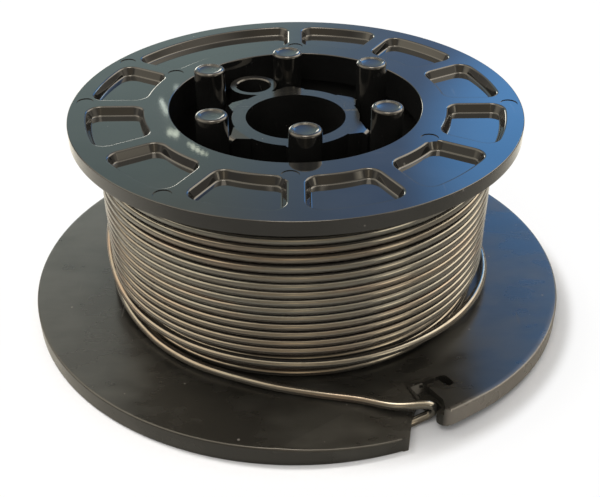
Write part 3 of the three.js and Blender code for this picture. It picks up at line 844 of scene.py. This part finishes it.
def notchCutters():
    n, f = notch, lowerFlange
    rim, top = f["radius"], f["thick"]
    above = top + 1

    def outline(name, points, low, high):
        return raiseOutline(name, [notchPoint(u, v) for u, v in points], low, high)

    wall, throat = n["rightWall"], n["throat"]
    mouth = outline("mouthCutter", [
        (rim + 1, n["mouthLeft"] - 0.5), (rim - n["mouthEdge"], n["mouthLeft"]),
        (n["shoulder"], wall - n["shoulderWidth"]),
        (throat, n["cornerEdge"] + n["ridge"] / 2), (throat, wall)]
        + [(rim + out, wall + across) for out, across in n["mouthRound"]], -1, above)

    left, right, inside = n["cornerEdge"] + n["ridge"], wall + n["ledgeWidth"], wall - n["overlap"]
    ledge = outline("ledgeCutter", [
        (n["ledgeInner"], left), (throat + 1, left), (throat + 1, inside),
        (n["ledgeOuter"], inside), (n["ledgeOuter"], wall + n["narrow"]),
        (throat + n["narrowFrom"], right), (n["ledgeInner"], right)], n["ledgeFloor"], above)
    run = throat - n["ledgeInner"]
    drop = top - n["ledgeFloor"]
    outward = notchPoint(1, 0)
    slice(ledge, (*notchPoint(n["ledgeInner"], 0), top),
          (-outward.x * drop, -outward.y * drop, -run))

    half = n["eyeWidth"] / 2
    middle = right + n["finger"] + half
    eyeLine = arcPoints((n["eyeOuter"] - half, middle), half, -math.pi / 2, math.pi / 2, 8)
    eyeLine += arcPoints((n["eyeInner"] + half, middle), half, math.pi / 2, 3 * math.pi / 2, 8)
    eye = outline("eyeCutter", eyeLine, -1, above)
    start = wall + n["ledgeWidth"] / 2
    groove = outline("grooveCutter", [
        (n["eyeInner"], start), (n["eyeInner"] + n["groove"], start),
        (n["eyeInner"] + n["groove"], middle), (n["eyeInner"], middle)],
        top - n["grooveDepth"], above)

    inner = notchPoint(n["cornerInner"], n["cornerEdge"])
    outer = polar(rim, n["bearing"] - n["cornerSweep"])
    hinge = (outer - inner).normalized()
    corner = raiseOutline("cornerCutter", [
        inner, outer, outer * 1.5, notchPoint(rim * 1.5, n["cornerEdge"])], 0, above)
    slope = math.radians(n["cornerSlope"])
    across = Vector((-hinge.y, hinge.x))
    if across.dot(outer) < 0:
        across = -across
    slice(corner, (*inner, top),
          (-across.x * math.sin(slope), -across.y * math.sin(slope), -math.cos(slope)))
    slot = outline("hookSlot", [(throat + out, wall + across) for out, across in n["slot"]],
                   -1, above)
    return [corner, mouth, ledge, eye, groove, slot]


def bendEdge(piece):
    v = lowerFlange
    for vertex in piece.data.vertices:
        x, y = vertex.co.xy / mm
        radius, bearing = math.hypot(x, y), math.degrees(math.atan2(y, x))
        if radius < v["bendFrom"] or not v["bendSpan"][0] < bearing < v["bendSpan"][1]:
            continue
        across = Vector((x, y)) - notchPoint(0, 0)
        side = across.dot(notchPoint(0, 1))
        share = smoothStep(side - notch["rightWall"], *v["bendSide"])
        reach = (radius - v["bendFrom"]) / (v["radius"] - v["bendFrom"])
        vertex.co.z += alongTable(v["bend"], bearing) * share * reach ** v["bendPower"] * mm


def buildLowerFlange():
    v = lowerFlange
    rings = [v["bendFrom"] + (v["radius"] - v["bendFrom"]) * i / v["rings"]
             for i in range(v["rings"] + 1)]
    rings = [v["spunFrom"]] + rings
    profile = [(r, 0) for r in rings] + [(r, v["thick"]) for r in reversed(rings)]
    piece = spinProfile("lowerFlangeBody", profile, v["sides"])
    combine(piece, rod("middle", v["middle"], 0, v["thick"], sides=v["sides"]), "UNION")
    combine(piece, pocketRing(-v["under"], v["pocketTop"], v))
    combine(piece, rod("boreCutter", v["bore"], -1, v["thick"] + 1, sides=144))
    for cutter in notchCutters():
        combine(piece, cutter)
    editAll(piece)
    bpy.ops.mesh.remove_doubles(threshold=v["mergeUnder"] * mm)
    low, high = v["edgesFrom"]
    bevelCreases(piece, v["edgeRound"], 2, lambda m: m.z > v["edgesAbove"]
                 and low < m.xy.length < high and m.y < v["edgesBefore"], least=25)
    # the rim's rounding stops short of the notch's sharp corner
    sharp = notchPoint(v["radius"] - notch["mouthEdge"], notch["mouthLeft"])
    bevelCreases(piece, v["rimRound"], 4, lambda m: m.xy.length > v["radius"] - v["rimOver"]
                 and (m.xy - sharp).length > v["clearOfCorner"], clamp=False)
    collar = tube("collar", v["collarInner"], v["collarOuter"], v["thick"] - v["collarSink"],
                  v["collarTop"], 144)
    piece = joined([piece, collar], "lowerFlangeBody")
    bendEdge(piece)
    smoothFaces(piece)
    finishPiece(piece, plasticFor("lowerFlangePlastic", **lowerFlangeFinish), "reel_plastic",
                "lower_flange")


buildLowerFlange()
print("lower flange ready")


# drum, hub and pegs

deepBlack = {"dark": (0.008, 0.0078, 0.007, 1), "light": (0.013, 0.0126, 0.0115, 1)}
drum = {"inner": 23.6, "outer": 25.4, "bottom": 3.6, "top": 36}
drumFinish = {"dark": (0.02, 0.0195, 0.0175, 1), "light": (0.028, 0.0272, 0.025, 1)}
pegFinish = {**deepBlack, "gloss": (0.1, 0.17)}
hub = {
    "bore": 9, "sleeve": 11.5, "bottom": 3.6, "top": 35.8, "edgeRound": 0.22,
    "webRoot": 5.4, "web": 1.6, "webRootLength": 1.7, "webTip": 14.2, "webDrop": 0.12,
    "webSink": 1.2, "roundReach": 3, "edgesReach": 2.8, "flatUnder": 0.5,
    "mergeUnder": 0.08, "tipRound": 1.1, "bossRadius": 4.4, "bossBore": 3.2, "bossCircle": 15.8,
    "bossBearing": 120.6, "bossChamfer": 0.22, "over": 0.5, "pegBearing": 35.1, "pegs": 6,
}
peg = {"radius": 2.8, "circle": 17.3, "bottom": 2.2, "tops": (41.9, 41.05), "rim": 2.24,
       "shoulder": 0.5, "dish": 2.0, "dishDepth": 0.18, "crestDrop": 0.14, "sides": 72}


def buildDrum():
    v = drum
    piece = tube("drumTube", v["inner"], v["outer"], v["bottom"], v["top"], 180)
    smoothFaces(piece)
    finishPiece(piece, plasticFor("drumPlastic", **drumFinish), "reel_plastic", "drum")


def buildHub():
    v = hub
    piece = tube("hubBody", v["bore"], v["sleeve"], v["bottom"], v["top"], 144)
    root, tip = v["sleeve"] - v["webSink"], v["webTip"]
    shoulder = v["sleeve"] + v["webRootLength"]
    web = raiseOutline("web", [
        (root, -v["webRoot"] / 2), (v["sleeve"], -v["webRoot"] / 2), (shoulder, -v["web"] / 2),
        (tip, -v["web"] / 2), (tip, v["web"] / 2), (shoulder, v["web"] / 2),
        (v["sleeve"], v["webRoot"] / 2), (root, v["webRoot"] / 2)], v["bottom"], v["top"])
    run = tip - v["sleeve"]
    slice(web, (v["sleeve"], 0, v["top"]), (v["webDrop"], 0, run))
    pickEdges(web, lambda edge, a, b: min(a.x, b.x) > tip - 0.05
              and min(a.z, b.z) > v["top"] - v["roundReach"])
    bevelPicked(v["tipRound"], 5)
    for k in range(v["pegs"]):
        turn = math.radians(v["pegBearing"] + 360 * k / v["pegs"])
        combine(piece, copyOf(web, f"web{k}", turn), "UNION")
    bpy.data.objects.remove(web)
    place = polar(v["bossCircle"], v["bossBearing"])
    foot = polar(v["sleeve"], v["bossBearing"])
    half = (place + foot) / 2
    combine(piece, rod("boss", v["bossRadius"], v["bottom"], v["top"], *place), "UNION")
    combine(piece, rod("bridge", v["webRoot"] / 2, v["bottom"], v["top"], *half), "UNION")
    hole = spinProfile("bossBore", [
        (0, 0), (v["bossBore"], 0), (v["bossBore"], v["top"] - v["bossChamfer"]),
        (v["bossBore"] + v["bossChamfer"] + v["over"], v["top"] + v["over"]),
        (0, v["top"] + v["over"])], 64)
    combine(piece, copyOf(hole, "bossHole", 0, (*place, 0)))
    bpy.data.objects.remove(hole)
    combine(piece, rod("boreAgain", v["bore"], 0, v["top"] + 1, sides=144))
    editAll(piece)
    bpy.ops.mesh.dissolve_limited(angle_limit=math.radians(v["flatUnder"]))
    bpy.ops.mesh.remove_doubles(threshold=v["mergeUnder"] * mm)
    bevelCreases(piece, v["edgeRound"], 3, lambda m: m.z > v["top"] - v["edgesReach"], least=20)
    smoothFaces(piece)
    finishPiece(piece, plasticFor("hubPlastic", **deepBlack), "reel_plastic", "hub")


def pegOf(name, top):
    # a round shoulder up to a narrow rim, with a shallow dish inside it
    v = peg
    quarter = math.pi / 2
    profile = [(0, v["bottom"]), (v["radius"], v["bottom"])]
    profile += [(v["rim"] + (v["radius"] - v["rim"]) * math.cos(a),
                 top - v["shoulder"] + v["shoulder"] * math.sin(a))
                for a in [quarter * i / 8 for i in range(9)]]
    crest = (v["rim"] - v["dish"]) / 2
    profile += [(v["rim"] - crest * (1 - math.cos(a)), top - v["crestDrop"] * a / math.pi)
                for a in [math.pi * i / 6 for i in range(1, 7)]]
    profile += [(v["dish"] * math.cos(quarter * t),
                 top - v["crestDrop"] - v["dishDepth"] * math.sin(quarter * t))
                for t in (0.15, 0.35, 0.6, 0.8, 1)]
    piece = spinProfile(name, profile, v["sides"], closed=False)
    smoothFaces(piece, 50)
    return piece


def buildPegs():
    v = peg
    material = plasticFor("pegPlastic", **pegFinish)
    models = [pegOf("pegStart", top) for top in v["tops"]]
    for k in range(hub["pegs"]):
        place = polar(v["circle"], hub["pegBearing"] + 360 * k / hub["pegs"])
        twin = copyOf(models[k % 2], f"drivePeg{k + 1}", 0, (*place, 0))
        finishPiece(twin, material, "reel_plastic", f"drive_peg_{k + 1}")
    for model in models:
        bpy.data.objects.remove(model)


buildDrum()
buildHub()
buildPegs()
print("drum, hub and pegs ready")


# wire

wire = {
    "radius": 0.75, "steps": 180, "sides": 12, "layerRadius": 34.75, "layerStep": 1.35,
    # height of each turn where it passes the front, from the foot up
    "turns": [4.4, 5.95, 7.5, 9.0, 10.3, 11.9, 13.65, 15.3, 17.0, 18.6, 20.15, 21.75, 23.3, 24.9,
              26.65, 28.5, 30.25, 31.9, 33.5, 35.1],
    "stepUp": 9.7, "stepRun": 0.3, "looseRadius": 36.3, "lift": 60,
    # how far the start is tucked in, until where, and over how many degrees it comes out
    "startTuck": 1.7, "tuckTo": 165, "tuckRun": 150,
    # the loose turn from the climb's end: degrees on, radius and height
    "loose": [(0, 36.3, 35.15), (40, 36.3, 33.2), (90, 36.3, 27), (135, 36.25, 19),
              (155, 36.1, 15.2), (168, 35.8, 12.7), (178, 35.55, 10.8), (188, 35.25, 9.0),
              (196, 35.0, 7.95), (207, 34.95, 7.7), (228, 34.95, 7.7), (256, 34.95, 7.5),
              (290, 35.1, 7.0), (315, 35.6, 6.3), (339, 36.4, 5.5), (352, 36.6, 5.4),
              (380, 36.6, 5.3), (450, 36.2, 5.6), (520, 35.4, 5.8), (550, 34.95, 5.7),
              (564, 34.95, 4.95), (573, 35.15, 4.5), (588, 35.6, 4.37), (594, 35.75, 4.37),
              (600, 36.05, 4.37)],
    "leave": -106,
    # the tail as radius and bearing, then its end in the notch's own axes with heights
    "tail": [(36.6, -100), (37.3, -94.6), (38.95, -84.7), (41.3, -76)],
    "total": 600, "hookSteps": 110,
    "hook": [(44.28, -4.21, 4.37), (46.1, -0.1, 4.37), (46.55, 1.1, 4.1),
             (46.6, 1.75, 3.35), (46.4, 1.8, 2.4), (46.15, 1.2, 1.65), (46.0, 0.1, 1.35),
             (45.9, -1.5, 1.05), (45.9, -3.2, 0.95)],
}


def hookPlace(u, v, height):
    return Vector((*notchPoint(u, v), height))


def splineThrough(points, count):
    # centripetal curve through the points, evenly spaced
    fine, parts = [], 24
    ends = [points[0] * 2 - points[1]] + points + [points[-1] * 2 - points[-2]]
    for i in range(1, len(ends) - 2):
        p = ends[i - 1:i + 3]
        knots = [0.0]
        for a, b in zip(p, p[1:]):
            knots.append(knots[-1] + max((b - a).length, 1e-6) ** 0.5)
        for k in range(parts):
            t = knots[1] + (knots[2] - knots[1]) * k / parts
            a = [p[j].lerp(p[j + 1], (t - knots[j]) / (knots[j + 1] - knots[j])) for j in range(3)]
            b = [a[j].lerp(a[j + 1], (t - knots[j]) / (knots[j + 2] - knots[j])) for j in range(2)]
            fine.append(b[0].lerp(b[1], (t - knots[1]) / (knots[2] - knots[1])))
    fine.append(points[-1])
    lengths = [0.0]
    for a, b in zip(fine, fine[1:]):
        lengths.append(lengths[-1] + (b - a).length)
    result, j = [], 0
    for k in range(count + 1):
        goal = lengths[-1] * k / count
        while j < len(lengths) - 2 and lengths[j + 1] < goal:
            j += 1
        share = (goal - lengths[j]) / max(lengths[j + 1] - lengths[j], 1e-9)
        result.append(fine[j].lerp(fine[j + 1], min(share, 1)))
    return result


def wirePath():
    v = wire
    climbEnd = v["leave"] - v["total"]
    turnTable = [(-90 + 360 * (k - len(v["turns"])), h) for k, h in enumerate(v["turns"])]
    shift = 360 * math.floor((climbEnd + 90) / 360) + 360
    turnTable = [(b + shift, h) for b, h in turnTable]
    looseRadii = [(on, r) for on, r, h in v["loose"]]
    looseHeights = [(on, h) for on, r, h in v["loose"]]
    step = 360 / v["steps"]
    points = []
    first = turnTable[0][0] - 180
    bearingNow = first
    while bearingNow < v["leave"] + 1e-6:
        past = bearingNow - climbEnd
        if past < 0:
            height = alongTable(turnTable, bearingNow)
            layered = smoothStep(height, v["stepUp"] - v["stepRun"], v["stepUp"])
            radius = v["layerRadius"] - v["layerStep"] * (1 - layered)
            radius -= v["startTuck"] * smoothStep(first + v["tuckTo"] - bearingNow, 0, v["tuckRun"])
            radius += (v["looseRadius"] - radius) * smoothStep(past, -v["lift"], 0)
        else:
            height = alongTable(looseHeights, past)
            radius = alongTable(looseRadii, past)
        points.append(Vector((*polar(radius, bearingNow), height)))
        bearingNow += step
    # the tail runs to the notch, turns down through it and comes back underneath
    tail = points[-2:] + [Vector((*polar(r, b), points[-1].z)) for r, b in v["tail"]]
    tail += [hookPlace(*place) for place in v["hook"]]
    points = points[:-2] + splineThrough(tail, v["hookSteps"])
    return points


def buildWire():
    v = wire
    points = wirePath()
    line = bpy.data.curves.new("wireLine", "CURVE")
    line.dimensions = "3D"
    line.bevel_depth = v["radius"] * mm
    line.bevel_resolution = v["sides"] // 4
    line.use_fill_caps = True
    spline = line.splines.new("POLY")
    spline.points.add(len(points) - 1)
    for knot, point in zip(spline.points, points):
        knot.co = (*(point * mm), 1)
    piece = bpy.data.objects.new("wireWinding", line)
    bpy.context.collection.objects.link(piece)
    activate(piece)
    bpy.ops.object.convert(target="MESH")
    piece = bpy.context.active_object
    print("wire:", len(points), "points,", len(piece.data.vertices), "vertices,",
          round(sum((b - a).length for a, b in zip(points, points[1:])) / 1000, 2), "m")
    activate(piece)
    bpy.ops.object.shade_smooth()
    return piece


innerTurns = {"inside": 26, "bottom": 3.7, "top": 35.6, "pitch": 1.6, "wire": 0.75,
              "stepUp": 9, "below": 32.05, "above": 33.4, "sides": 120}


def buildInnerTurns():
    # the layer beneath the visible turns
    v = innerTurns
    profile = [(v["inside"], v["bottom"])]
    for k in range(int((v["top"] - v["bottom"]) / v["pitch"])):
        middle = v["bottom"] + v["pitch"] * (k + 0.5)
        reach = v["below"] if middle < v["stepUp"] else v["above"]
        profile += [(reach + v["wire"] * (math.cos(a) - 1), middle + v["wire"] * math.sin(a))
                    for a in [math.radians(x) for x in (-80, -50, -25, 0, 25, 50, 80)]]
    profile.append((v["inside"], v["top"]))
    piece = spinProfile("innerTurns", profile, v["sides"])
    smoothFaces(piece, 60)
    return piece


steelValues = {
    "grey": (0.158, 0.154, 0.138, 1), "brown": (0.166, 0.148, 0.124, 1),
    "copper": (0.2, 0.14, 0.102, 1), "oxide": (0.06, 0.053, 0.044, 1),
    # noises drawn out along the wire: flattening, scale and detail
    "turns": (26, 16, 2), "long": (9, 38, 3), "fine": (7, 420, 3),
    "brownFrom": (0.36, 0.64), "copperFrom": (0.52, 0.7), "copperShow": 0.5,
    "oxideFrom": (0.5, 0.72), "oxideShow": 0.22, "gloss": (0.1, 0.2), "glossFrom": (0.3, 0.7),
    "metallic": 0.82, "bump": 0.1, "bumpDepth": 0.05,
}


def wireSteel(name, values):
    v = values
    material, tree, shader, spot = startMaterial(name)

    def streaks(kind, row):
        flat, scale, detail = v[kind]
        return noise(tree, stretched(tree, spot, (1, 1, flat), (-1600, row)), scale, detail,
                     (-1400, row))

    fine = streaks("fine", -200)
    tint = spread(tree, streaks("turns", 200), *v["brownFrom"], (-1100, 200))
    colour = blendColours(tree, tint, v["grey"], v["brown"], (-900, 200))
    rust = spread(tree, streaks("long", 0), *v["copperFrom"], (-1100, 0))
    colour = blendColours(tree, times(tree, rust, v["copperShow"], (-900, 0)), colour,
                          v["copper"], (-700, 150))
    dark = spread(tree, fine, *v["oxideFrom"], (-1100, -200))
    colour = blendColours(tree, times(tree, dark, v["oxideShow"], (-900, -200)), colour,
                          v["oxide"], (-500, 100))
    feed(tree, shader.inputs["Base Color"], colour)
    feed(tree, shader.inputs["Roughness"],
         spread(tree, fine, *v["glossFrom"], (-900, 450), *v["gloss"]))
    shader.inputs["Metallic"].default_value = v["metallic"]
    addBump(tree, shader, fine, v)
    return material


winding = buildWire()
steel = wireSteel("annealedSteel", steelValues)
finishPiece(winding, steel, "annealed_wire", "wire_outer_layer")
finishPiece(buildInnerTurns(), steel, "annealed_wire", "wire_inner_layers")
print("wire ready")
